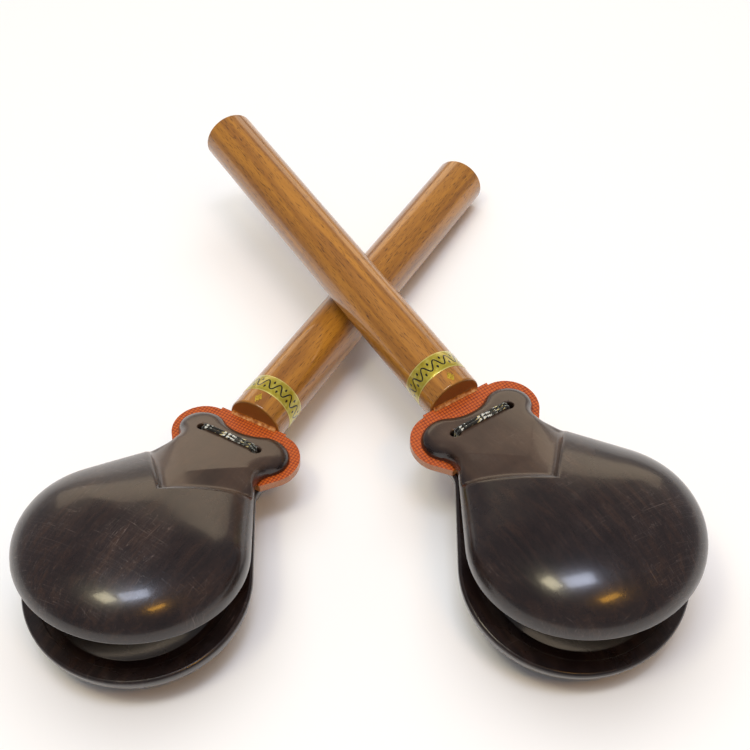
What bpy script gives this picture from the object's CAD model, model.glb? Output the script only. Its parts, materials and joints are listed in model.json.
"""A crossed pair of orchestral handle castanets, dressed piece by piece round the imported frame.

Sizes inside the mesh functions are millimetres; every object is placed in metres.
"""

import json
import math

import bmesh
import bpy
import numpy as np
from bpy.props import FloatProperty, FloatVectorProperty, PointerProperty
from mathutils import Matrix, Vector


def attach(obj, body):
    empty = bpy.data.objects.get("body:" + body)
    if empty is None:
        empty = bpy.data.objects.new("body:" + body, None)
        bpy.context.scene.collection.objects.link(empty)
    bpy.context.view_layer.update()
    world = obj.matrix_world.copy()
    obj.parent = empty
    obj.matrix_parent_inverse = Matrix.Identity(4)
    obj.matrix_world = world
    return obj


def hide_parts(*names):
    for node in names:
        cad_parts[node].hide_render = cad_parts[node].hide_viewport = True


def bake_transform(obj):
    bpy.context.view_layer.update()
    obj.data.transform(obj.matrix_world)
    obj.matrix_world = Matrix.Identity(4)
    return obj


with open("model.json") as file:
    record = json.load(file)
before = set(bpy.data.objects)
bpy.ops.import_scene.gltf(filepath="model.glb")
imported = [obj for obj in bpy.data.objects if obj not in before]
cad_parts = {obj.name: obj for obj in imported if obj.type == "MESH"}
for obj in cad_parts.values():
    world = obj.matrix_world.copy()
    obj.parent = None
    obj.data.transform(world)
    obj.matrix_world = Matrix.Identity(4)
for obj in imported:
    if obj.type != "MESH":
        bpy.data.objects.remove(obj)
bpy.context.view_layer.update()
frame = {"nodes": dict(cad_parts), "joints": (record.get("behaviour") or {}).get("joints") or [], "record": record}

bl_info = {
    "name": "Handle Castanets",
    "version": (1, 0, 0),
    "blender": (4, 5, 0),
    "location": "View3D > Sidebar > Castanets",
    "description": "Builds the visible pieces of a crossed pair of handle castanets",
    "category": "Object",
}

MM = 0.001
YARNS, LAY = 6, 9            # yarns round a strand of the cord, and millimetres for one turn
SIDES = ("left", "right")
LEVELS = ("upper", "lower")
JOINTS = {joint["name"]: joint for joint in frame["joints"]}
MOUNTS = {mount["name"]: mount for mount in frame["record"]["mounts"]}


def linear(hex_colour):
    """An sRGB hex colour as linear red, green and blue."""
    values = [int(hex_colour[i:i + 2], 16) / 255 for i in (1, 3, 5)]
    return [v / 12.92 if v <= 0.04045 else ((v + 0.055) / 1.055) ** 2.4 for v in values]


def rgba(hex_colour):
    return (*linear(hex_colour), 1)


# ---------------- sizes and colours

def length(name, description, millimetres):
    return FloatProperty(name=name, description=description, default=millimetres * MM,
                         min=0, subtype="DISTANCE", unit="LENGTH")


def colour(name, description, hex_colour):
    return FloatVectorProperty(name=name, description=description, size=3, min=0, max=1,
                               default=linear(hex_colour), subtype="COLOR")


def angle(name, description, degrees):
    return FloatProperty(name=name, description=description, default=math.radians(degrees),
                         subtype="ANGLE", unit="ROTATION")


class CASTANETS_PG_handle(bpy.types.PropertyGroup):
    diameter: length("Diameter", "Diameter of the turned handle", 20)
    length: length("Length", "Length of the handle", 158.5)
    end_round: length("End rounding", "Rounding of the handle's two ends", 0.8)
    band_from: length("Band from", "From the handle's shell end to the foil band", 7)
    band_width: length("Band width", "Width of the foil band", 7.6)
    heartwood: colour("Wood", "Main colour of the lacquered walnut", "#a8701f")
    streak: colour("Streaks", "Colour of the darker growth streaks", "#855214")


class CASTANETS_PG_plate(bpy.types.PropertyGroup):
    thickness: length("Thickness", "Thickness of the canvas laminate", 3)
    length: length("Length", "From the handle's end to the edge where the shells hinge", 24)
    ear_radius: length("Ear radius", "Radius of the plate's two round ears", 11)
    thread: length("Thread spacing", "Spacing of the canvas threads in the laminate", 1.1)
    resin: colour("Resin", "Colour of the resin-soaked canvas", "#a8460e")


class CASTANETS_PG_shell(bpy.types.PropertyGroup):
    width: length("Width", "Greatest width of a shell", 75.5)
    thickness: length("Thickness", "Greatest thickness of a shell", 18)
    reach: length("Reach", "From the hinge line to the middle of the round part", 48.5)
    step: length("Step", "Height of the carved step where the ears meet the dome", 2.6)
    hollow: length("Hollow", "Diameter of the hollow inside", 61)
    depth: length("Hollow depth", "Depth of the hollow inside", 9)
    open_angle: angle("Open angle", "How far a shell stands open from the middle plane", 6.4)
    dark: colour("Heartwood", "Main colour of the dark hardwood", "#251a18")
    warm: colour("Warm streaks", "Colour of its lighter, redder streaks", "#35251d")


class CASTANETS_PG_cord(bpy.types.PropertyGroup):
    strand: length("Strand", "Diameter of one strand of the elastic cord", 1.1)
    hole: length("Hole", "Diameter of the cord holes", 3.3)
    hole_apart: length("Hole from middle", "Distance of a cord hole from the middle line", 10.8)
    dark: colour("Dark yarn", "Colour of the dark yarns", "#14150f")


class CASTANETS_PG_stage(bpy.types.PropertyGroup):
    distance: length("Camera distance", "From the camera to the table along the view", 515.3)
    pitch: angle("Camera pitch", "How far the camera looks down", 48.28)
    turn: angle("Camera turn", "Turn of the view from straight along +Y", 0.83)
    roll: angle("Camera roll", "Roll of the camera about its view", -3.42)
    lens: FloatProperty(name="Lens", description="Focal length, for a 36 mm wide sensor",
                        default=65.49, subtype="DISTANCE_CAMERA")
    table: colour("Table", "Colour of the plain table top", "#f4f4f2")


SETTINGS = {
    "castanets_handle": CASTANETS_PG_handle,
    "castanets_plate": CASTANETS_PG_plate,
    "castanets_shell": CASTANETS_PG_shell,
    "castanets_cord": CASTANETS_PG_cord,
    "castanets_stage": CASTANETS_PG_stage,
}


# ---------------- places, from the frame

def castanet_frame(side, handle_length):
    """A castanet's own frame: X along its handle from the shell end, Z off the plate's upper face."""
    end = MOUNTS[side + "_handle_end"]
    x = Vector(end["axis"]).normalized()
    y = -Vector(JOINTS[side + "_upper_close"]["axis"]).normalized()
    z = x.cross(y)
    origin = Vector(end["pos_m"]) - handle_length * x
    placed = Matrix((x, y, z)).transposed().to_4x4()
    placed.translation = origin
    return placed


def turn_on_cord(side, level):
    """How far a shell has turned on its cord, read from the directions of the hinges."""
    if level == "upper":
        return 0.0
    placed = castanet_frame(side, 0)
    hinge = Vector(JOINTS[side + "_lower_close"]["axis"])
    return math.atan2(-hinge.dot(placed.col[0].xyz), hinge.dot(placed.col[1].xyz))


class Sizes:
    """The sizes that several pieces share, in millimetres, worked out from the settings."""

    def __init__(self, scene):
        handle, plate = scene.castanets_handle, scene.castanets_plate
        shell, cord = scene.castanets_shell, scene.castanets_cord
        self.handle_r = handle.diameter / MM / 2
        self.handle_length = handle.length / MM
        self.end_round = handle.end_round / MM
        self.band_from = handle.band_from / MM
        self.band_width = handle.band_width / MM
        self.plate_t = plate.thickness / MM
        self.plate_length = plate.length / MM
        self.plate_ear_r = plate.ear_radius / MM
        self.gap = 0.1                       # clearance between parts that move on each other
        self.hinge_z = self.plate_t / 2 + self.gap
        self.body_r = shell.width / MM / 2
        self.shell_t = shell.thickness / MM
        self.reach = shell.reach / MM
        self.step = shell.step / MM
        self.hollow_r = shell.hollow / MM / 2
        self.hollow_depth = shell.depth / MM
        self.open_angle = shell.open_angle
        self.hole_u = -8.8                   # place of the cord holes along the ears
        self.hole_x = -self.plate_length - self.hole_u
        self.hole_v = cord.hole_apart / MM
        self.hole_r = cord.hole / MM / 2
        self.strand_r = cord.strand / MM / 2
        self.strand_apart = 0.6              # from the cord's middle to a strand's
        self.hole_slack = 0.7                # the strands run up the inner side of their holes
        self.ear_h = 8.6                     # plateau's height over the hinge line
        self.ear_slope = 0.17                # its rise towards the dome
        # the plateau's slope and height over the plate, where the cord crosses it
        c, s = math.cos(self.open_angle), math.sin(self.open_angle)
        self.out_slope = (self.ear_slope * c + s) / (c - self.ear_slope * s)
        self.ear_out = self.ear_h / (c - self.ear_slope * s) + self.hole_u * self.out_slope


# ---------------- meshes

def new_mesh(name, points, faces):
    """A mesh from points in millimetres, its faces turned outwards."""
    mesh = bpy.data.meshes.new(name)
    mesh.from_pydata([tuple(c * MM for c in p) for p in points], [], faces)
    edit = bmesh.new()
    edit.from_mesh(mesh)
    bmesh.ops.recalc_face_normals(edit, faces=edit.faces)
    edit.to_mesh(mesh)
    edit.free()
    return mesh


def smooth(mesh, degrees=32):
    mesh.shade_smooth()
    mesh.set_sharp_from_angle(angle=math.radians(degrees))
    return mesh


def show(name, mesh, material=None, placed=None):
    """An object that shows a mesh, set in its place; "own" keeps where each point was before."""
    if placed is not None:
        own = np.empty(3 * len(mesh.vertices), np.float32)
        mesh.vertices.foreach_get("co", own)
        mesh.attributes.new("own", "FLOAT_VECTOR", "POINT").data.foreach_set("vector", own)
        mesh.transform(placed)
    if material is not None:
        mesh.materials.clear()
        mesh.materials.append(material)
    made = bpy.data.objects.new(name, mesh)
    bpy.context.scene.collection.objects.link(made)
    return made


def hold_flats(made):
    """Keeps flat faces flat in the shading, beside their rounded edges."""
    modifier = made.modifiers.new("Flat faces", "WEIGHTED_NORMAL")
    modifier.keep_sharp = True
    modifier.weight = 60


def cut(mesh, tools):
    """The mesh with the tools' closed meshes cut away, one after another."""
    for tool in tools:
        blank = show("blank", mesh)
        cutter = show("cutter", tool)
        modifier = blank.modifiers.new("Cut", "BOOLEAN")
        modifier.operation = "DIFFERENCE"
        modifier.solver = "EXACT"
        modifier.object = cutter
        bpy.context.view_layer.update()
        seen = blank.evaluated_get(bpy.context.evaluated_depsgraph_get())
        mesh = bpy.data.meshes.new_from_object(seen)
        bpy.data.objects.remove(blank)
        bpy.data.objects.remove(cutter)
    if not len(mesh.polygons):
        raise RuntimeError("a cut left nothing of the piece")
    return mesh


def turned_mesh(name, profile, steps):
    """A profile of (radius, height) points turned about Z; it starts and ends on the axis."""
    points, faces = [(0, 0, profile[0][1]), (0, 0, profile[-1][1])], []
    rim = profile[1:-1]
    for r, z in rim:
        for i in range(steps):
            a = math.tau * i / steps
            points.append((r * math.cos(a), r * math.sin(a), z))
    for i in range(steps):
        k = (i + 1) % steps
        faces.append((0, 2 + k, 2 + i))
        for j in range(len(rim) - 1):
            low, high = 2 + j * steps, 2 + (j + 1) * steps
            faces.append((low + i, low + k, high + k, high + i))
        last = 2 + (len(rim) - 1) * steps
        faces.append((1, last + i, last + k))
    return new_mesh(name, points, faces)


def arc(centre, radius, start, end, steps):
    """Points of an arc, with angles in degrees."""
    return [(centre[0] + radius * math.cos(math.radians(start + (end - start) * i / steps)),
             centre[1] + radius * math.sin(math.radians(start + (end - start) * i / steps)))
            for i in range(steps + 1)]


def prism(name, outline, low, high):
    """A flat outline made solid between two heights."""
    count = len(outline)
    points = [(x, y, z) for z in (low, high) for x, y in outline]
    faces = [tuple(range(count)), tuple(range(count, 2 * count))]
    faces += [(i, (i + 1) % count, count + (i + 1) % count, count + i) for i in range(count)]
    return new_mesh(name, points, faces)


def moved(mesh, matrix):
    """The mesh moved by a matrix in millimetres."""
    shift = matrix.copy()
    shift.translation = matrix.translation * MM
    mesh.transform(shift)
    return mesh


# ---------------- the shells' shape

class ShellShape:
    """One shell on its rim plane: u from the hinge line to the tip, v across, w into the dome."""

    squat = 0.96                # how much shorter than round the plan is
    side_angle = 29.7           # between a straight side and the middle line
    ear = np.array([-11.5, 12.6])
    ear_r = 8.5
    saddle_u = -15.7            # bottom of the saddle between the ears
    neck_r = 8                  # hollow curve between an ear and the side
    rim_r = 1.2                 # rounding between the rim's flat and the dome
    dome_power = 2.1            # how square the dome's section is
    crown_fall = 7              # how far the crown sinks towards the ears
    carve_end_u = 8.9           # where the carved V meets the sides
    carve_tip = np.array([31.2, 0.0])
    crown_u = 56                # far end of the dome's middle line
    hollow_u = 46               # middle of the hollow inside
    ring_w = 1.5                # width of the fine step round the hollow
    ring_depth = 0.8
    fillet_w = 3.5              # width of the hollow curve at the foot of the step
    skirt = 2                   # how far the blank reaches below the rim plane
    columns = 26                # points from the outline to the middle line
    ear_crown = 0.004           # how the plateau falls away to both sides
    chamfer = 0.9               # width of the flat along the step's top edge
    chamfer_fall = 0.4         # how far that flat drops

    def __init__(self, sizes):
        self.z = sizes
        self.body = np.array([sizes.reach, 0.0])
        self.outline()

    @staticmethod
    def polar(centre, radius, degrees):
        a = np.radians(degrees)
        return centre + radius * np.stack([np.cos(a), np.sin(a)], -1)

    def outline(self):
        """Half of the plan, v >= 0, as two fine lines from the end of the carved V."""
        z, a = self.z, math.radians(self.side_angle)
        side = np.array([-math.cos(a), -math.sin(a)])
        across = np.array([-math.sin(a), math.cos(a)])
        away = self.body + (z.body_r + self.neck_r) * across - self.ear
        along = away @ side
        run = -along - math.sqrt(along ** 2 - away @ away + (self.ear_r + self.neck_r) ** 2)
        neck = self.ear + away + run * side
        fall = self.saddle_u - self.ear[0]
        saddle_r = (fall ** 2 + self.ear[1] ** 2 - self.ear_r ** 2) / (2 * (self.ear_r + fall))
        saddle = np.array([self.saddle_u - saddle_r, 0.0])
        top = self.body + z.body_r * across
        start = top + (top[0] - self.carve_end_u / self.squat) / math.cos(a) * side

        def heading(p):
            return math.degrees(math.atan2(p[1], p[0]))

        def bend(centre, radius, a0, a1):
            return self.polar(centre, radius, np.linspace(a0, a1, 60))

        dome = np.vstack([start, bend(self.body, z.body_r, 90 + self.side_angle, 0)])
        neck_line = np.vstack([
            start,
            bend(neck, self.neck_r, self.side_angle - 90, heading(self.ear - neck)),
            bend(self.ear, self.ear_r, heading(neck - self.ear),
                 360 + heading(saddle - self.ear)),
            bend(saddle, saddle_r, heading(self.ear - saddle), 0)])
        neck_line[-1] = (self.saddle_u, 0)
        shorter = np.array([self.squat, 1.0])
        self.dome_line = dome * shorter
        self.neck_line = neck_line * shorter
        self.edge = np.vstack([self.neck_line[::-1], self.dome_line[1:]])
        self.carve_end = self.dome_line[0]

    @staticmethod
    def at(line, shares):
        """Points at given shares of a line's length."""
        steps = np.linalg.norm(np.diff(line, axis=0), axis=1)
        run = np.concatenate([[0], np.cumsum(steps)]) / steps.sum()
        return np.stack([np.interp(shares, run, line[:, i]) for i in range(2)], -1)

    @staticmethod
    def distance(points, line):
        """From each point to a line of straight pieces."""
        a, b = line[:-1], line[1:]
        d = b - a
        size = np.maximum((d * d).sum(1), 1e-12)
        out = []
        for part in np.array_split(points, max(1, len(points) // 2000)):
            away = part[:, None, :] - a
            t = np.clip((away * d).sum(2) / size, 0, 1)
            out.append(np.linalg.norm(away - t[..., None] * d, axis=2).min(1))
        return np.concatenate(out)

    @staticmethod
    def swell(x, power):
        x = np.clip(x, 0, 1)
        return (1 - (1 - x) ** power) ** (1 / power)

    def inset(self, p):
        """Distance from the outline, rounded off along the middle line behind the round part."""
        near = self.distance(p, self.edge)
        far = self.distance(p, self.edge * [1, -1])
        reach = 7 * np.clip((self.z.reach * self.squat - p[:, 0]) / 14, 1e-3, 1)
        overlap = np.clip(reach - abs(near - far), 0, None)
        return np.where(p[:, 0] > self.carve_end_u,
                        np.minimum(near, far) - overlap ** 2 / (4 * reach), np.minimum(near, far))

    def dome_height(self, p, d):
        sink = np.clip(1 - p[:, 0] / (self.z.reach * self.squat), 0, None) ** 1.5
        crown = self.z.shell_t - self.crown_fall * sink
        return self.rim_r + (crown - self.rim_r) * self.swell(d / self.z.body_r, self.dome_power)

    def off_carve(self, p):
        """Distance from the line of the carved V."""
        return self.distance(p, np.array([self.carve_end, self.carve_tip]))

    def carved_height(self, p, d):
        """The ears' plateau, rising in a hollow curve to the dome along the carved V."""
        z = self.z
        off = self.off_carve(p)
        plateau = z.ear_h + z.ear_slope * p[:, 0] - self.ear_crown * p[:, 1] ** 2
        ear = self.rim_r + (plateau - self.rim_r) * self.swell(d / 4.5, 2.3)
        dome = self.dome_height(p, d)
        under = np.maximum(self.rim_r, dome - z.step * np.minimum(1, d / 3))
        floor = ear + (np.minimum(ear, under) - ear) * np.clip(1 - off / 10, 0, None)
        rise = np.clip(1 - off / self.fillet_w, 0, None) ** 2.2
        top = dome - self.chamfer_fall * np.minimum(1, d / 2)
        return floor + (top - floor) * rise

    def half_rows(self):
        """Rows from the outline to the middle line: over the ears, along the V, over the dome."""
        close = np.array([0.004, 0.009, 0.016, 0.025, 0.036, 0.05])
        ear_shares = np.concatenate([close, np.linspace(0.066, 1, 62)])[::-1]
        dome_shares = np.concatenate([[0, 0.003, 0.007, 0.012, 0.02], np.linspace(0.03, 1, 80)])
        rows = []
        inward = 1 - np.cos(np.linspace(0, math.pi / 2, self.columns + 1))
        for shares, line, end, carved in (
                (ear_shares, self.neck_line, self.saddle_u + 4, True),
                (dome_shares, self.dome_line, self.crown_u, False)):
            for share, edge in zip(shares, self.at(line, shares)):
                middle = np.array([self.carve_tip[0] + (end - self.carve_tip[0]) * share, 0.0])
                p = edge + inward[:, None] * (middle - edge)
                d = np.maximum(self.inset(p), 0)
                d[0] = 0
                w = self.carved_height(p, d) if carved else self.dome_height(p, d)
                flat = np.clip(1 - self.off_carve(p) / self.chamfer, 0, 1) if not carved else 0
                w = w - self.chamfer_fall * flat * np.minimum(1, d / 2)
                rows.append(np.column_stack([p, w]))
        return rows

    def blank(self):
        """The closed outside of a shell, with a skirt that is cut off at the rim plane."""
        half = self.half_rows()
        last = len(half) - 1
        rows = half + [r * [1, -1, 1] for r in half[last - 1:0:-1]]
        count = len(rows)
        edge = np.array([r[0] for r in rows])
        tangent = np.roll(edge, -1, 0) - np.roll(edge, 1, 0)
        inward = np.column_stack([tangent[:, 1], -tangent[:, 0], 0 * tangent[:, 0]])
        inward /= np.linalg.norm(inward, axis=1)[:, None]
        rings = []
        for degrees in (78, 62, 45, 28, 12):
            a = math.radians(degrees)
            rings.append(edge + self.rim_r * (1 - math.cos(a)) * inward
                         - [0, 0, self.rim_r * math.sin(a)])
        rings.insert(0, rings[0] - [0, 0, self.skirt])
        rings += [np.array([r[j] for r in rows]) for j in range(self.columns)]
        top = np.array([r[-1] for r in half])
        under = top * [1, 1, 0] - [0, 0, self.skirt]
        points = np.vstack(rings + [top, under])
        top_at, under_at = len(rings) * count, len(rings) * count + len(top)

        def middle(start, i):
            return start + (i if i <= last else count - i)

        faces = []
        for i in range(count):
            k = (i + 1) % count
            for j in range(len(rings) - 1):
                faces.append((j * count + i, j * count + k, (j + 1) * count + k, (j + 1) * count + i))
            for start, ring in ((top_at, (len(rings) - 1) * count), (under_at, 0)):
                face = (ring + i, ring + k, middle(start, k), middle(start, i))
                faces.append(face if face[2] != face[3] else face[:3])
        return new_mesh("shell", points.tolist(), faces)

    def below(self):
        """What is cut off below the rim plane and below the ears' slanted inner face."""
        wide, deep = 100, -2 * self.skirt
        side = [(0, 0), (wide, 0), (wide, deep), (-wide / 2, deep),
                (-wide / 2, wide / 2 * math.tan(self.z.open_angle))]
        tool = prism("below", side, -wide / 2, wide / 2)
        return moved(tool, Matrix.Rotation(math.pi / 2, 4, "X"))

    def hollow(self):
        """The round hollow, with the fine step at its mouth and lightly broken edges."""
        z, arris = self.z, 0.3
        ball_r = (z.hollow_r ** 2 + z.hollow_depth ** 2) / (2 * z.hollow_depth)
        ball_z = z.hollow_depth - ball_r
        mouth_r = z.hollow_r + self.ring_w
        step = self.ring_depth
        inner = math.sqrt(ball_r ** 2 - (step + arris - ball_z) ** 2)
        start = math.degrees(math.atan2(step + arris - ball_z, inner))
        profile = [(0, -self.skirt), (mouth_r + arris, -self.skirt)]
        profile += arc((mouth_r + arris, arris), arris, 270, 180, 5)
        profile += [(mouth_r, step), (inner + 2 * arris, step)]
        profile += arc((0, ball_z), ball_r, start, 90, 40)
        return moved(turned_mesh("hollow", profile, 128), Matrix.Translation((self.hollow_u, 0, 0)))

    def cord_hole(self, side):
        """One cord hole, square to the plate, with a rounded mouth that follows the plateau."""
        z, mouth = self.z, 0.8
        top = z.ear_out - self.ear_crown * z.hole_v ** 2 + 0.03
        profile = [(0, -3), (z.hole_r, -3)]
        profile += arc((z.hole_r + mouth, top - mouth), mouth, 180, 90, 7)
        profile += [(z.hole_r + mouth, top + 3), (0, top + 3)]
        tool = turned_mesh("cord hole", profile, 40)
        slant = Matrix.Identity(4)
        slant[2][0] = z.out_slope
        tool.transform(slant)
        moved(tool, Matrix.Translation((z.hole_u, side * z.hole_v, 0)))
        return moved(tool, Matrix.Rotation(z.open_angle, 4, "Y"))

    def mesh(self):
        tools = [self.below(), self.hollow(), self.cord_hole(1), self.cord_hole(-1)]
        return smooth(cut(self.blank(), tools), 38)


def on_hinge(sizes, level):
    """From the rim plane to the castanet's frame, standing open; the lower shell is turned over."""
    placed = Matrix.Translation(Vector((-sizes.plate_length, 0, sizes.hinge_z)) * MM)
    placed = placed @ Matrix.Rotation(sizes.open_angle, 4, "Y") @ Matrix.Rotation(math.pi, 4, "Z")
    return placed if level == "upper" else Matrix.Rotation(math.pi, 4, "X") @ placed


def on_cord(sizes, turn):
    """A turn on the cord, about the middle between the cord holes."""
    centre = Matrix.Translation((sizes.hole_x * MM, 0, 0))
    return centre @ Matrix.Rotation(turn, 4, "Z") @ centre.inverted()


# ---------------- materials

def feed(tree, node, inputs):
    """Sets a node's inputs: a socket, or a node's first output, is linked; the rest are values."""
    for name, value in inputs.items():
        if isinstance(value, bpy.types.Node):
            value = value.outputs[0]
        if isinstance(value, bpy.types.NodeSocket):
            tree.links.new(value, node.inputs[name])
        else:
            node.inputs[name].default_value = value


def add_node(tree, kind, inputs=None, **settings):
    """Adds a shader node with its settings, and feeds its inputs."""
    made = tree.nodes.new("ShaderNode" + kind)
    for name, value in settings.items():
        setattr(made, name, value)
    feed(tree, made, inputs or {})
    return made


def new_material(name, **surface):
    """A material with one shader; surface holds the shader's own constant values."""
    material = bpy.data.materials.new(name)
    material.use_nodes = True
    tree = material.node_tree
    shader = tree.nodes["Principled BSDF"]
    for socket, value in surface.items():
        shader.inputs[socket.replace("_", " ")].default_value = value
    return material, tree, shader


def own_place(tree):
    """Where a point is along its own piece, in metres."""
    return add_node(tree, "Attribute", attribute_name="own").outputs["Vector"]


def ramp(tree, value, stops, interpolation="LINEAR"):
    """A colour ramp over a value; stops are (place, hex colour or linear colour)."""
    made = add_node(tree, "ValToRGB", {0: value})
    made.color_ramp.interpolation = interpolation
    elements = made.color_ramp.elements
    while len(elements) < len(stops):
        elements.new(0.5)
    for element, (place, tint) in zip(elements, stops):
        element.position = place
        element.color = rgba(tint) if isinstance(tint, str) else (*tint, 1)
    return made.outputs[0]


def polished_rosewood(name, settings, place):
    """Rosewood, carved, filled and rubbed to a wax polish.

    To the eye: near black-brown, redder streaks along the shell, a soft window-like shine on the
    dome, a duller carved plateau, and fine pale scratches from playing.
    """
    material, tree, shader = new_material(name, IOR=1.52, Coat_Weight=0.35, Coat_Roughness=0.10)
    where = own_place(tree)
    moved_to = add_node(tree, "Mapping", {"Vector": where, "Location": place})
    # growth streaks about 2 mm wide and 40 mm long
    grain = add_node(tree, "Mapping", {
        "Vector": moved_to, "Scale": (26, 420, 420), "Rotation": (0.1, 0.08, 0.35)})
    streaks = add_node(tree, "TexNoise", {
        "Vector": grain, "Scale": 1, "Detail": 6, "Roughness": 0.6, "Distortion": 0.6})
    tone = ramp(tree, streaks, [
        (0.30, [c * 0.7 for c in settings.dark]), (0.48, settings.dark),
        (0.66, settings.warm), (0.85, [c * 1.25 for c in settings.warm])])
    # pores about 0.25 mm wide
    pores = add_node(tree, "TexNoise", {"Vector": grain, "Scale": 9, "Detail": 3, "Roughness": 0.7})
    pore = ramp(tree, pores, [(0.36, "#a8a8a8"), (0.50, "#ffffff")])
    # broad cloudy patches, tens of millimetres across
    cloud = add_node(tree, "TexNoise", {
        "Vector": moved_to, "Scale": 38, "Detail": 4, "Roughness": 0.55})
    cloudy = ramp(tree, cloud, [(0.35, "#b9aeb4"), (0.65, "#ffffff")])
    base = add_node(tree, "Mix", {0: 1.0, 6: tone, 7: pore},
                    data_type="RGBA", blend_type="MULTIPLY")
    base = add_node(tree, "Mix", {0: 1.0, 6: base.outputs[2], 7: cloudy},
                    data_type="RGBA", blend_type="MULTIPLY")
    # playing scratches: the hair-thin crests of two stretched noises
    crests = []
    for turn, scale in ((0.9, (60, 900, 60)), (-0.5, (900, 45, 60))):
        lie = add_node(tree, "Mapping", {
            "Vector": moved_to, "Scale": scale, "Rotation": (0, 0, turn)})
        lines = add_node(tree, "TexNoise", {
            "Vector": lie, "Scale": 1, "Detail": 1, "Distortion": 0.4})
        crests.append(ramp(tree, lines, [
            (0.495, "#000000"), (0.50, "#ffffff"), (0.505, "#000000")]))
    scratch = add_node(tree, "Math", {0: crests[0], 1: crests[1]}, operation="MAXIMUM")
    worn = ramp(tree, cloud, [(0.48, "#000000"), (0.62, "#ffffff")])
    scratch = add_node(tree, "Math", {0: scratch, 1: worn}, operation="MULTIPLY")
    faint = add_node(tree, "Math", {0: scratch, 1: 0.34}, operation="MULTIPLY")
    base = add_node(tree, "Mix", {
        0: faint, 6: base.outputs[2], 7: rgba("#8a7a72")}, data_type="RGBA")
    # the plateau inside the carved V is paler and duller; the V runs 31.2 mm - 0.83 |v|
    parts = add_node(tree, "SeparateXYZ", {0: where})
    across = add_node(tree, "Math", {0: parts.outputs["Y"]}, operation="ABSOLUTE")
    edge = add_node(tree, "Math", {0: across, 1: -0.83, 2: 0.0312}, operation="MULTIPLY_ADD")
    short = add_node(tree, "Math", {0: edge, 1: parts.outputs["X"]}, operation="SUBTRACT")
    inside = add_node(tree, "MapRange", {"Value": short, "From Min": 0.001, "From Max": 0.006})
    # on the outside only, which stands well over the rim plane
    proud = add_node(tree, "MapRange", {
        "Value": parts.outputs["Z"], "From Min": 0.004, "From Max": 0.006})
    worn_down = add_node(tree, "Math", {0: inside, 1: proud}, operation="MULTIPLY")
    handled = add_node(tree, "Math", {0: worn_down, 1: cloudy}, operation="MULTIPLY")
    handled = add_node(tree, "Math", {0: handled, 1: 0.5}, operation="MULTIPLY")
    base = add_node(tree, "Mix", {
        0: handled, 6: base.outputs[2], 7: rgba("#5e4a3a")}, data_type="RGBA")
    rough = add_node(tree, "MapRange", {
        "Value": cloud, "From Min": 0.3, "From Max": 0.7, "To Min": 0.22, "To Max": 0.34})
    rough = add_node(tree, "Math", {0: worn_down, 1: 0.06, 2: rough}, operation="MULTIPLY_ADD")
    dents = add_node(tree, "Math", {0: streaks, 1: scratch}, operation="SUBTRACT")
    bump = add_node(tree, "Bump", {"Height": dents, "Strength": 0.25, "Distance": 0.00012})
    feed(tree, shader, {"Base Color": base.outputs[2], "Roughness": rough, "Normal": bump})
    return material


def lacquered_walnut(name, settings, place, long):
    """Walnut, turned and sprayed with clear gloss lacquer.

    To the eye: golden brown with darker streaks along the handle, short dark pores, darker end
    grain, and a wet shine from the lacquer.
    """
    material, tree, shader = new_material(
        name, IOR=1.5, Coat_Weight=1.0, Coat_Roughness=0.06, Coat_IOR=1.5)
    where = own_place(tree)
    moved_to = add_node(tree, "Mapping", {"Vector": where, "Location": place})
    # growth streaks about 4 mm wide and 70 mm long, which run out slowly along the handle
    grain = add_node(tree, "Mapping", {
        "Vector": moved_to, "Scale": (14, 240, 300), "Rotation": (0, 0.03, 0.05)})
    streaks = add_node(tree, "TexNoise", {
        "Vector": grain, "Scale": 1, "Detail": 5, "Roughness": 0.55, "Distortion": 0.5})
    between = [0.5 * (a + b) for a, b in zip(settings.streak, settings.heartwood)]
    tone = ramp(tree, streaks, [
        (0.32, settings.streak), (0.47, between),
        (0.58, settings.heartwood), (0.75, [c * 1.18 for c in settings.heartwood])])
    # pores about 0.25 mm wide and 4 mm long
    pore_place = add_node(tree, "Mapping", {"Vector": moved_to, "Scale": (260, 4200, 4200)})
    pores = add_node(tree, "TexNoise", {
        "Vector": pore_place, "Scale": 1, "Detail": 2, "Roughness": 0.5})
    pore = ramp(tree, pores, [(0.33, "#6f5238"), (0.42, "#ffffff")])
    base = add_node(tree, "Mix", {0: 0.85, 6: tone, 7: pore},
                    data_type="RGBA", blend_type="MULTIPLY")
    # end grain drinks the lacquer and turns darker
    parts = add_node(tree, "SeparateXYZ", {0: where})
    near = add_node(tree, "MapRange", {
        "Value": parts.outputs["X"], "From Min": 0.0004, "From Max": 0.0001,
        "To Min": 0.0, "To Max": 0.8})
    far = add_node(tree, "MapRange", {
        "Value": parts.outputs["X"], "From Min": (long - 0.4) * MM, "From Max": (long - 0.1) * MM,
        "To Min": 0.0, "To Max": 0.6})
    ends = add_node(tree, "Math", {0: near, 1: far}, operation="ADD")
    base = add_node(tree, "Mix", {
        0: ends, 6: base.outputs[2], 7: rgba("#7a4c12")}, data_type="RGBA")
    rough = add_node(tree, "MapRange", {
        "Value": streaks, "From Min": 0.3, "From Max": 0.7, "To Min": 0.38, "To Max": 0.5})
    bump = add_node(tree, "Bump", {"Height": pores, "Strength": 0.12, "Distance": 0.0001})
    feed(tree, shader, {"Base Color": base.outputs[2], "Roughness": rough, "Normal": bump})
    return material


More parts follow.
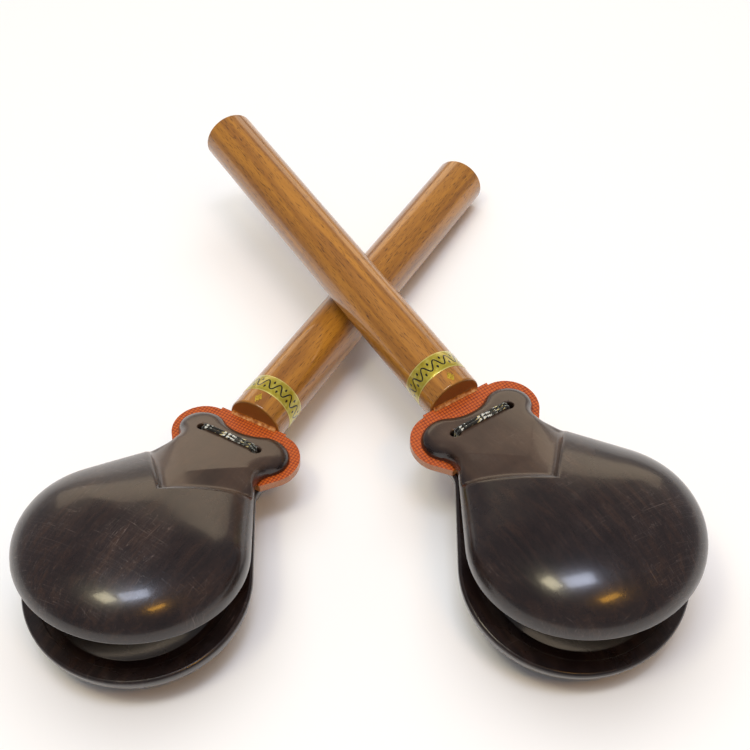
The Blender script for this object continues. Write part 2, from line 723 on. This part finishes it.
def canvas_laminate(name, settings):
    """Canvas laminate: cotton canvas pressed in phenolic resin, sawn and rubbed.

    To the eye: an orange brickwork of threads on the faces, fine lighter layers on the sawn edge,
    and a low waxy shine.
    """
    material, tree, shader = new_material(name, IOR=1.55, Coat_Weight=0.3, Coat_Roughness=0.2)
    where = own_place(tree)
    parts = add_node(tree, "SeparateXYZ", {0: where})
    # the threads are drawn wider than canvas has them, so that they show
    waves = []
    for axis in ("X", "Y"):
        step = add_node(tree, "Math", {
            0: parts.outputs[axis], 1: math.pi / settings.thread}, operation="MULTIPLY")
        waves.append(add_node(tree, "Math", {0: step}, operation="SINE"))
    # over and under: the two sets of threads change places from one crossing to the next
    cross = add_node(tree, "Math", {0: waves[0], 1: waves[1]}, operation="MULTIPLY")
    depth = add_node(tree, "Math", {0: cross}, operation="ABSOLUTE")
    uneven = add_node(tree, "TexNoise", {"Vector": where, "Scale": 900, "Detail": 2})
    mixed = add_node(tree, "Math", {0: uneven, 1: 0.5, 2: depth}, operation="MULTIPLY_ADD")
    dark = [c * f for c, f in zip(settings.resin, (0.36, 0.26, 0.24))]
    light = [min(1, c * f) for c, f in zip(settings.resin, (1.3, 1.7, 1.6))]
    weave = ramp(tree, mixed, [(0.22, dark), (0.55, settings.resin), (1.0, light)])
    # the sawn edge shows the plies, 0.3 mm apart, paler than the faces
    ply = add_node(tree, "Math", {
        0: parts.outputs["Z"], 1: math.tau / 0.0003}, operation="MULTIPLY")
    ply = add_node(tree, "Math", {0: ply}, operation="SINE")
    plies = ramp(tree, ply, [(0.0, "#9c5220"), (1.0, "#dc9a5c")])
    level = add_node(tree, "Math", {0: parts.outputs["Z"]}, operation="ABSOLUTE")
    edge = add_node(tree, "MapRange", {"Value": level, "From Min": 0.00142, "From Max": 0.00136})
    base = add_node(tree, "Mix", {0: edge, 6: weave, 7: plies}, data_type="RGBA")
    rough = add_node(tree, "MapRange", {"Value": depth, "To Min": 0.5, "To Max": 0.36})
    bump = add_node(tree, "Bump", {"Height": depth, "Strength": 0.35, "Distance": 0.0001})
    feed(tree, shader, {"Base Color": base.outputs[2], "Roughness": rough, "Normal": bump})
    return material


def printed_foil(name, width, around):
    """Gold foil label, printed with a dark scroll and lacquered over.

    To the eye: greenish yellow gold that goes pale where it faces the light, with a bright line
    of lacquer along each edge.
    """
    material, tree, shader = new_material(
        name, Metallic=0.55, Coat_Weight=1.0, Coat_Roughness=0.08)
    wrap = add_node(tree, "UVMap", uv_map="wrap")
    parts = add_node(tree, "SeparateXYZ", {0: wrap})
    run, over = parts.outputs["X"], parts.outputs["Y"]
    vary = add_node(tree, "TexNoise", {"Vector": wrap, "Scale": 0.5, "Detail": 3})
    gold = ramp(tree, vary, [(0.3, "#a89418"), (0.55, "#bcae38"), (0.75, "#ccc466")])
    # a running scroll: a wave with a leaf in each of its hollows
    period = around / 13
    phase = add_node(tree, "Math", {0: run, 1: math.tau / period}, operation="MULTIPLY")
    wave = add_node(tree, "Math", {0: phase}, operation="SINE")
    middle = add_node(tree, "Math", {0: over, 1: width / 2}, operation="SUBTRACT")
    swell = add_node(tree, "Math", {0: phase, 1: 2.0}, operation="MULTIPLY")
    swell = add_node(tree, "Math", {0: swell}, operation="COSINE")
    stem_width = add_node(tree, "Math", {0: swell, 1: 0.22, 2: 0.46}, operation="MULTIPLY_ADD")
    bold = add_node(tree, "Math", {0: wave}, operation="ABSOLUTE")
    leaf_width = add_node(tree, "MapRange", {
        "Value": bold, "From Min": 0.86, "From Max": 1.0, "To Min": 0.0, "To Max": 0.65})
    strokes = []
    for height, half_width in ((-1.7, stem_width), (1.5, leaf_width)):
        off = add_node(tree, "Math", {0: wave, 1: height, 2: middle}, operation="MULTIPLY_ADD")
        off = add_node(tree, "Math", {0: off}, operation="ABSOLUTE")
        strokes.append(add_node(tree, "Math", {0: off, 1: half_width}, operation="LESS_THAN"))
    ink = add_node(tree, "Math", {0: strokes[0], 1: strokes[1]}, operation="MAXIMUM")
    # the lacquer's bright bead along both edges
    rim = add_node(tree, "Math", {0: middle}, operation="ABSOLUTE")
    rim = add_node(tree, "MapRange", {
        "Value": rim, "From Min": width / 2 - 0.5, "From Max": width / 2 - 0.2,
        "To Min": 0.0, "To Max": 0.6})
    bright = add_node(tree, "Mix", {0: rim, 6: gold, 7: rgba("#f0e890")}, data_type="RGBA")
    base = add_node(tree, "Mix", {
        0: ink, 6: bright.outputs[2], 7: rgba("#17140c")}, data_type="RGBA")
    rough = add_node(tree, "MapRange", {"Value": vary, "To Min": 0.28, "To Max": 0.5})
    feed(tree, shader, {"Base Color": base.outputs[2], "Roughness": rough})
    return material


def gold_leaf(name):
    """Gold leaf, pressed on the wood and lacquered: bright yellow, a little patchy."""
    material, tree, shader = new_material(name, Metallic=0.7, Coat_Weight=1.0, Coat_Roughness=0.08)
    where = add_node(tree, "TexCoord").outputs["Object"]
    patch = add_node(tree, "TexNoise", {"Vector": where, "Scale": 2200, "Detail": 3})
    base = ramp(tree, patch, [(0.36, "#9a6a2e"), (0.46, "#d8b020"), (0.7, "#f4dc50")])
    rough = add_node(tree, "MapRange", {"Value": patch, "To Min": 0.25, "To Max": 0.5})
    feed(tree, shader, {"Base Color": base, "Roughness": rough})
    return material


def amber_glue(name):
    """Clear wood glue, squeezed out and set: amber, glossy, with a few bubbles."""
    material, tree, shader = new_material(
        name, IOR=1.49, Coat_Weight=1.0, Coat_Roughness=0.04, Roughness=0.2)
    where = add_node(tree, "TexCoord").outputs["Object"]
    uneven = add_node(tree, "TexNoise", {"Vector": where, "Scale": 700, "Detail": 3})
    base = ramp(tree, uneven, [(0.3, "#8a4a1a"), (0.5, "#b8702e"), (0.75, "#e0a868")])
    bump = add_node(tree, "Bump", {"Height": uneven, "Strength": 0.5, "Distance": 0.0003})
    feed(tree, shader, {"Base Color": base, "Normal": bump})
    return material


def braided_elastic(name, settings):
    """Elastic cord with a braided cotton and tinsel cover.

    To the eye: black yarns with flecks of white, cream and gold, each about 0.6 mm wide
    and 1 mm long, and a little sheen from the tinsel.
    """
    material, tree, shader = new_material(name, Roughness=0.62, Sheen_Weight=0.25)
    strand = add_node(tree, "UVMap", uv_map="strand")
    parts = add_node(tree, "SeparateXYZ", {0: strand})
    turn = add_node(tree, "Math", {
        0: parts.outputs["X"], 1: 1 / LAY, 2: parts.outputs["Y"]}, operation="MULTIPLY_ADD")
    count = add_node(tree, "Math", {0: turn, 1: YARNS}, operation="MULTIPLY")
    yarn = add_node(tree, "Math", {0: count}, operation="FLOOR")
    # each yarn shows its colour for about a millimetre before it dives under the next
    start = add_node(tree, "Math", {
        0: yarn, 1: 0.37, 2: parts.outputs["X"]}, operation="MULTIPLY_ADD")
    stitch = add_node(tree, "Math", {0: start}, operation="FLOOR")
    cell = add_node(tree, "CombineXYZ", {0: yarn, 1: stitch})
    pick = add_node(tree, "TexWhiteNoise", {"Vector": cell})
    flecks = ramp(tree, pick.outputs["Value"], [
        (0.0, settings.dark), (0.46, "#3a3d33"), (0.64, "#8d9389"), (0.80, "#e4e6da"),
        (0.93, "#efe0a0")], "CONSTANT")
    fuzz = add_node(tree, "TexNoise", {"Vector": strand, "Scale": 9, "Detail": 3})
    shade = ramp(tree, fuzz, [(0.3, "#8a8a8a"), (0.7, "#ffffff")])
    base = add_node(tree, "Mix", {0: 0.6, 6: flecks, 7: shade},
                    data_type="RGBA", blend_type="MULTIPLY")
    bump = add_node(tree, "Bump", {"Height": fuzz, "Strength": 0.4, "Distance": 0.00008})
    feed(tree, shader, {"Base Color": base.outputs[2], "Normal": bump})
    return material


# ---------------- pieces

def handle_mesh(sizes):
    """The turned handle along X, with its rounded ends and the mortise for the plate."""
    r, long, end = sizes.handle_r, sizes.handle_length, sizes.end_round
    profile = [(0, 0), (r * 0.5, 0)]
    profile += arc((r - end, end), end, 270, 360, 8)
    profile += [(r, long * share) for share in (0.1, 0.3, 0.5, 0.7, 0.9)]
    profile += arc((r - end, long - end), end, 0, 90, 8)
    profile += [(r * 0.5, long), (0, long)]
    turned = moved(turned_mesh("handle", profile, 128), Matrix.Rotation(math.pi / 2, 4, "Y"))
    deep, half_wide, slack = 18, 7, 0.02
    corners = [(-1, -half_wide), (deep, -half_wide), (deep, half_wide), (-1, half_wide)]
    half_high = sizes.plate_t / 2 + slack
    mortise = prism("mortise", corners, -half_high, half_high)
    return smooth(cut(turned, [mortise]), 40)


def band_mesh(sizes):
    """The foil band, its edges lying down on the wood, with a wrap map in millimetres."""
    r, foil, steps = sizes.handle_r, 0.12, 160
    w = sizes.band_width
    profile = [(0, r - 0.02), (0, r + foil * 0.6), (0.12, r + foil), (w / 3, r + foil),
               (2 * w / 3, r + foil), (w - 0.12, r + foil), (w, r + foil * 0.6), (w, r - 0.02)]
    points, faces, wrap = [], [], []
    for i in range(steps):
        a = math.tau * i / steps
        points += [(sizes.band_from + x, q * math.sin(a), q * math.cos(a)) for x, q in profile]
    n = len(profile)
    for i in range(steps):
        k = (i + 1) % steps
        for j in range(n):
            m = (j + 1) % n
            faces.append((i * n + j, k * n + j, k * n + m, i * n + m))
            wrap.append([(i, j), (i + 1, j), (i + 1, m), (i, m)])
    mesh = bpy.data.meshes.new("band")
    mesh.from_pydata([tuple(c * MM for c in p) for p in points], [], faces)
    layer = mesh.uv_layers.new(name="wrap")
    around = math.tau * r
    flat = [c for face in wrap for i, j in face for c in (around * i / steps, profile[j][0])]
    layer.data.foreach_set("uv", flat)
    mesh.flip_normals()
    return smooth(mesh, 40)


def plate_outline(sizes):
    """The plate's plan: two round ears, a straight hinge edge, and the edge at the handle."""
    ear = np.array([-sizes.plate_length / 2, 13.1])
    corner = np.array([-sizes.plate_length, 17.5])
    reach = corner - ear
    size = np.linalg.norm(reach)
    touch = math.degrees(math.atan2(reach[1], reach[0]) - math.acos(sizes.plate_ear_r / size)) % 360
    half = [(0, ear[1])] + arc(ear, sizes.plate_ear_r, 0, touch, 48) + [tuple(corner)]
    return half + [(x, -y) for x, y in reversed(half)]


def plate_mesh(sizes):
    """The bridge plate with its tongue, cord holes and lightly broken edges."""
    plate = prism("plate", plate_outline(sizes), -sizes.plate_t / 2, sizes.plate_t / 2)
    profile = [(0, -5), (sizes.hole_r, -5), (sizes.hole_r, 5), (0, 5)]
    holes = [moved(turned_mesh("hole", profile, 32),
                   Matrix.Translation((sizes.hole_x, side * sizes.hole_v, 0))) for side in (1, -1)]
    return cut(plate, holes)


def strand_path(sizes):
    """One strand's middle line in the plane across the castanet, as (y, z, length so far).

    It comes up the inner side of a hole, bends over its mouth and lies along the plateau.
    """
    bend, lift = 1.2, 0.12
    edge = sizes.hole_v - sizes.hole_slack
    top = sizes.hinge_z + sizes.ear_out + sizes.strand_r + lift
    half = [(edge, z) for z in np.linspace(0, top - bend, 40)]
    half += arc((edge - bend, top - bend), bend, 0, 90, 16)[1:]
    half += [(y, top) for y in np.linspace(edge - bend, 0, 50)[1:]]
    line = np.array(half + [(-y, z) for y, z in reversed(half[:-1])])
    fall = ShellShape.ear_crown * np.minimum(abs(line[:, 0]), edge - bend) ** 2
    line[:, 1] -= fall * np.clip(line[:, 1] / 4, 0, 1)
    run = np.concatenate([[0], np.cumsum(np.linalg.norm(np.diff(line, axis=0), axis=1))])
    even = np.arange(0, run[-1], 0.13)
    return np.column_stack([np.interp(even, run, line[:, 0]), np.interp(even, run, line[:, 1]), even])


def add_tube(points, faces, maps, centres, run, radius, sides=18):
    """A cord along a line of centres, its yarns laid round it as low ridges."""
    tangent = np.gradient(centres, axis=0)
    tangent /= np.linalg.norm(tangent, axis=1)[:, None]
    first = len(points)
    normal = np.cross(tangent[0], (1, 0, 0))
    if np.linalg.norm(normal) < 0.1:
        normal = np.cross(tangent[0], (0, 1, 0))
    for i, (centre, t) in enumerate(zip(centres, tangent)):
        normal = normal - t * (normal @ t)
        normal /= np.linalg.norm(normal)
        side = np.cross(t, normal)
        for k in range(sides):
            a = math.tau * k / sides
            ridge = math.cos(YARNS * (a + math.tau * run[i] / LAY))
            r = radius * (0.92 + 0.08 * ridge)
            points.append(centre + r * (math.cos(a) * normal + math.sin(a) * side))
    for i in range(len(centres) - 1):
        for k in range(sides):
            m = (k + 1) % sides
            a, b = first + i * sides, first + (i + 1) * sides
            faces.append((a + k, a + m, b + m, b + k))
            maps.append([(run[i], k / sides), (run[i], (k + 1) / sides),
                         (run[i + 1], (k + 1) / sides), (run[i + 1], k / sides)])
    for i, order in ((0, 1), (len(centres) - 1, -1)):
        ring = [first + i * sides + k for k in range(sides)][::order]
        faces.append(tuple(ring))
        maps.append([(run[i], 0.5)] * sides)


def cord_mesh(name, sizes, knot):
    """Two strands from the middle plane, through the holes and over the ears of one shell."""
    points, faces, maps = [], [], []
    path = strand_path(sizes)
    share = path[:, 0] / sizes.hole_v
    over = np.clip(1.1 - share ** 2, 0, 1)
    for side, sway in ((-1, 0.20), (1, -0.14)):
        x = sizes.hole_x + side * sizes.strand_apart + sway * over * np.sin(3 * share + side)
        centres = np.column_stack([x, path[:, 0], path[:, 1]])
        add_tube(points, faces, maps, centres, path[:, 2], sizes.strand_r)
    if knot:
        # an overhand knot, a trefoil that lies on the strands a little off the middle
        t = np.linspace(0, math.tau, 260)
        size, off_middle, lift = 0.62, 2, 0.9
        loop = np.column_stack([
            sizes.hole_x + size * (np.sin(t) + 2 * np.sin(2 * t)),
            off_middle + size * (np.cos(t) - 2 * np.cos(2 * t)),
            sizes.hinge_z + sizes.ear_out + sizes.strand_r + lift - 0.9 * size * np.sin(3 * t)])
        run = np.concatenate([[0], np.cumsum(np.linalg.norm(np.diff(loop, axis=0), axis=1))])
        add_tube(points, faces, maps, loop, run, sizes.strand_r)
    mesh = bpy.data.meshes.new(name)
    mesh.from_pydata([tuple(c * MM for c in p) for p in points], [], faces)
    layer = mesh.uv_layers.new(name="strand")
    layer.data.foreach_set("uv", [c for face in maps for uv in face for c in uv])
    edit = bmesh.new()
    edit.from_mesh(mesh)
    bmesh.ops.recalc_face_normals(edit, faces=edit.faces)
    edit.to_mesh(mesh)
    edit.free()
    return smooth(mesh, 60)


# ---------------- operators

class CASTANETS_OT_handles(bpy.types.Operator):
    """Turn the two walnut handles"""
    bl_idname = "castanets.handles"
    bl_label = "Handles"

    def execute(self, context):
        sizes, settings = Sizes(context.scene), context.scene.castanets_handle
        mesh = handle_mesh(sizes)
        for side, place in zip(SIDES, ((0.0, 0.031, 0.012), (0.213, -0.004, 0.047))):
            wood = lacquered_walnut("lacquered walnut " + side, settings, place, sizes.handle_length)
            piece = show(side + "_turned_handle", mesh.copy(), wood,
                         castanet_frame(side, settings.length))
            hold_flats(piece)
            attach(piece, side + "_handle_body")
            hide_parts(side + "_handle")
        return {"FINISHED"}


class CASTANETS_OT_bands(bpy.types.Operator):
    """Wrap the printed foil bands round the handles"""
    bl_idname = "castanets.bands"
    bl_label = "Foil bands"

    def execute(self, context):
        sizes = Sizes(context.scene)
        foil = printed_foil("printed gold foil", sizes.band_width, math.tau * sizes.handle_r)
        mesh = band_mesh(sizes)
        for side in SIDES:
            piece = show(side + "_printed_band", mesh.copy(), foil,
                         castanet_frame(side, context.scene.castanets_handle.length))
            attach(piece, side + "_handle_body")
            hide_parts(side + "_foil_band")
        return {"FINISHED"}


class CASTANETS_OT_marks(bpy.types.Operator):
    """Finish the small lozenges of gold leaf and the beads of glue"""
    bl_idname = "castanets.marks"
    bl_label = "Gold marks and glue"

    def execute(self, context):
        leaf, glue = gold_leaf("gold leaf"), amber_glue("amber glue")
        for side in SIDES:
            for node, material in ((side + "_gold_mark", leaf), (side + "_glue_bead", glue)):
                shown = frame["nodes"][node]
                shown.data.materials.clear()
                shown.data.materials.append(material)
        return {"FINISHED"}


class CASTANETS_OT_plates(bpy.types.Operator):
    """Saw the two bridge plates"""
    bl_idname = "castanets.plates"
    bl_label = "Bridge plates"

    def execute(self, context):
        sizes, settings = Sizes(context.scene), context.scene.castanets_plate
        canvas = canvas_laminate("canvas laminate", settings)
        mesh = plate_mesh(sizes)
        for side in SIDES:
            piece = show(side + "_laminate_plate", mesh.copy(), canvas,
                         castanet_frame(side, context.scene.castanets_handle.length))
            rounding = piece.modifiers.new("Broken edges", "BEVEL")
            rounding.width = 0.25 * MM
            rounding.segments = 3
            rounding.limit_method = "ANGLE"
            rounding.angle_limit = math.radians(50)
            piece.data.shade_smooth()
            hold_flats(piece)
            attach(piece, side + "_handle_body")
            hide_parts(side + "_bridge_plate")
        return {"FINISHED"}


class CASTANETS_OT_shells(bpy.types.Operator):
    """Carve the four shells"""
    bl_idname = "castanets.shells"
    bl_label = "Shells"

    def execute(self, context):
        sizes, settings = Sizes(context.scene), context.scene.castanets_shell
        mesh = ShellShape(sizes).mesh()
        places = iter(((0.0, 0.0, 0.0), (0.4, 0.1, 0.2), (0.11, 0.53, 0.3), (0.7, 0.25, 0.6)))
        for side in SIDES:
            for level in LEVELS:
                wood = polished_rosewood(f"polished rosewood {side} {level}", settings, next(places))
                placed = (castanet_frame(side, context.scene.castanets_handle.length)
                          @ on_cord(sizes, turn_on_cord(side, level)) @ on_hinge(sizes, level))
                piece = show(f"{side}_{level}_carved_shell", mesh.copy(), wood, placed)
                hold_flats(piece)
                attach(piece, f"{side}_{level}_clapper")
                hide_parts(f"{side}_{level}_shell")
        return {"FINISHED"}


class CASTANETS_OT_cords(bpy.types.Operator):
    """Thread and tie the elastic cords"""
    bl_idname = "castanets.cords"
    bl_label = "Elastic cords"

    def execute(self, context):
        sizes = Sizes(context.scene)
        elastic = braided_elastic("braided elastic", context.scene.castanets_cord)
        for side in SIDES:
            for level in LEVELS:
                mesh = cord_mesh(f"{side} {level} cord", sizes, level == "lower")
                over = Matrix.Identity(4) if level == "upper" else Matrix.Rotation(math.pi, 4, "X")
                placed = (castanet_frame(side, context.scene.castanets_handle.length)
                          @ on_cord(sizes, turn_on_cord(side, level)) @ over)
                piece = show(f"{side}_{level}_strands", mesh, elastic, placed)
                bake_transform(piece)
                nodes = ["cord_top", "cord_core"] if level == "upper" else ["cord_knot"]
                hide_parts(*(f"{side}_{node}" for node in nodes))
        return {"FINISHED"}


class CASTANETS_OT_stage(bpy.types.Operator):
    """Set out the table, the lights and the camera"""
    bl_idname = "castanets.stage"
    bl_label = "Stage"

    def execute(self, context):
        scene, settings = context.scene, context.scene.castanets_stage
        half = 4.0
        table_mesh = bpy.data.meshes.new("table")
        table_mesh.from_pydata([(-half, -half, 0), (half, -half, 0), (half, half, 0), (-half, half, 0)],
                               [], [(0, 1, 2, 3)])
        paint, tree, shader = new_material("matt white paint", Roughness=0.55, IOR=1.45)
        shader.inputs["Base Color"].default_value = (*settings.table, 1)
        table = show("table", table_mesh, paint)
        # a dim room; the softbox overhead is for the table, the rest shows in the polish
        world = bpy.data.worlds.new("room")
        scene.world = world
        world.use_nodes = True
        room = world.node_tree.nodes["Background"]
        room.inputs["Color"].default_value = rgba("#f4f0f6")
        room.inputs["Strength"].default_value = 0.28
        heads = Vector((0, -0.10, 0.045))
        lamps = (
            ("ceiling softbox", (0.0, 0.15, 0.99), 1.9, (2.2, 2.2), 31, "#fbfcff", False),
            ("far wall", (0.05, 0.95, 0.30), 2.3, (3.0, 0.7), 10, "#ffe6c4", True),
            ("warm lamp", (-0.25, -0.17, 0.95), 1.2, (0.24, 0.20), 2.4, "#fff3cc", True),
            ("window", (0.04, -0.12, 0.99), 1.2, (0.36, 0.20), 3.2, "#dfe8ff", True),
            ("amber lamp", (0.32, -0.42, 0.84), 1.2, (0.26, 0.12), 1.6, "#ffb840", True),
        )
        # name, way from the shells, distance, size, watts, colour, whether the polish shows it
        for name, way, far, size, watts, tint, shows in lamps:
            lamp = bpy.data.lights.new(name, "AREA")
            lamp.shape = "RECTANGLE"
            lamp.size, lamp.size_y = size
            lamp.energy = watts
            lamp.color = linear(tint)
            made = bpy.data.objects.new(name, lamp)
            scene.collection.objects.link(made)
            away = Vector(way).normalized()
            made.location = heads + far * away
            made.rotation_euler = away.to_track_quat("Z", "Y").to_euler()
            made.visible_glossy = shows
        lens = bpy.data.cameras.new("camera")
        lens.lens = settings.lens
        lens.sensor_width = 36
        camera = bpy.data.objects.new("camera", lens)
        scene.collection.objects.link(camera)
        look = (Matrix.Rotation(settings.turn, 4, "Z")
                @ Matrix.Rotation(math.pi / 2 - settings.pitch, 4, "X")
                @ Matrix.Rotation(settings.roll, 4, "Z"))
        aim = Vector((0.0076, 0.01787, 0.0))
        camera.matrix_world = Matrix.Translation(aim + look.col[2].xyz * settings.distance) @ look
        scene.camera = camera
        scene.view_settings.view_transform = "Standard"
        return {"FINISHED"}


class CASTANETS_PT_panel(bpy.types.Panel):
    """Lists the settings and the pieces"""
    bl_idname = "CASTANETS_PT_panel"
    bl_label = "Handle Castanets"
    bl_space_type = "VIEW_3D"
    bl_region_type = "UI"
    bl_category = "Castanets"

    def draw(self, context):
        for pointer, group in SETTINGS.items():
            box = self.layout.box()
            box.label(text=pointer.replace("castanets_", "").capitalize())
            for name in group.__annotations__:
                box.prop(getattr(context.scene, pointer), name)
        for operator in OPERATORS:
            self.layout.operator(operator.bl_idname)


OPERATORS = (
    CASTANETS_OT_stage,
    CASTANETS_OT_handles,
    CASTANETS_OT_bands,
    CASTANETS_OT_marks,
    CASTANETS_OT_plates,
    CASTANETS_OT_shells,
    CASTANETS_OT_cords,
)
CLASSES = (*SETTINGS.values(), *OPERATORS, CASTANETS_PT_panel)


def register():
    for made in CLASSES:
        bpy.utils.register_class(made)
    for pointer, group in SETTINGS.items():
        setattr(bpy.types.Scene, pointer, PointerProperty(type=group))


def unregister():
    for pointer in SETTINGS:
        delattr(bpy.types.Scene, pointer)
    for made in reversed(CLASSES):
        bpy.utils.unregister_class(made)


def main():
    register()
    for operator in OPERATORS:
        group, name = operator.bl_idname.split(".")
        getattr(getattr(bpy.ops, group), name)()


if __name__ == "__main__":
    main()
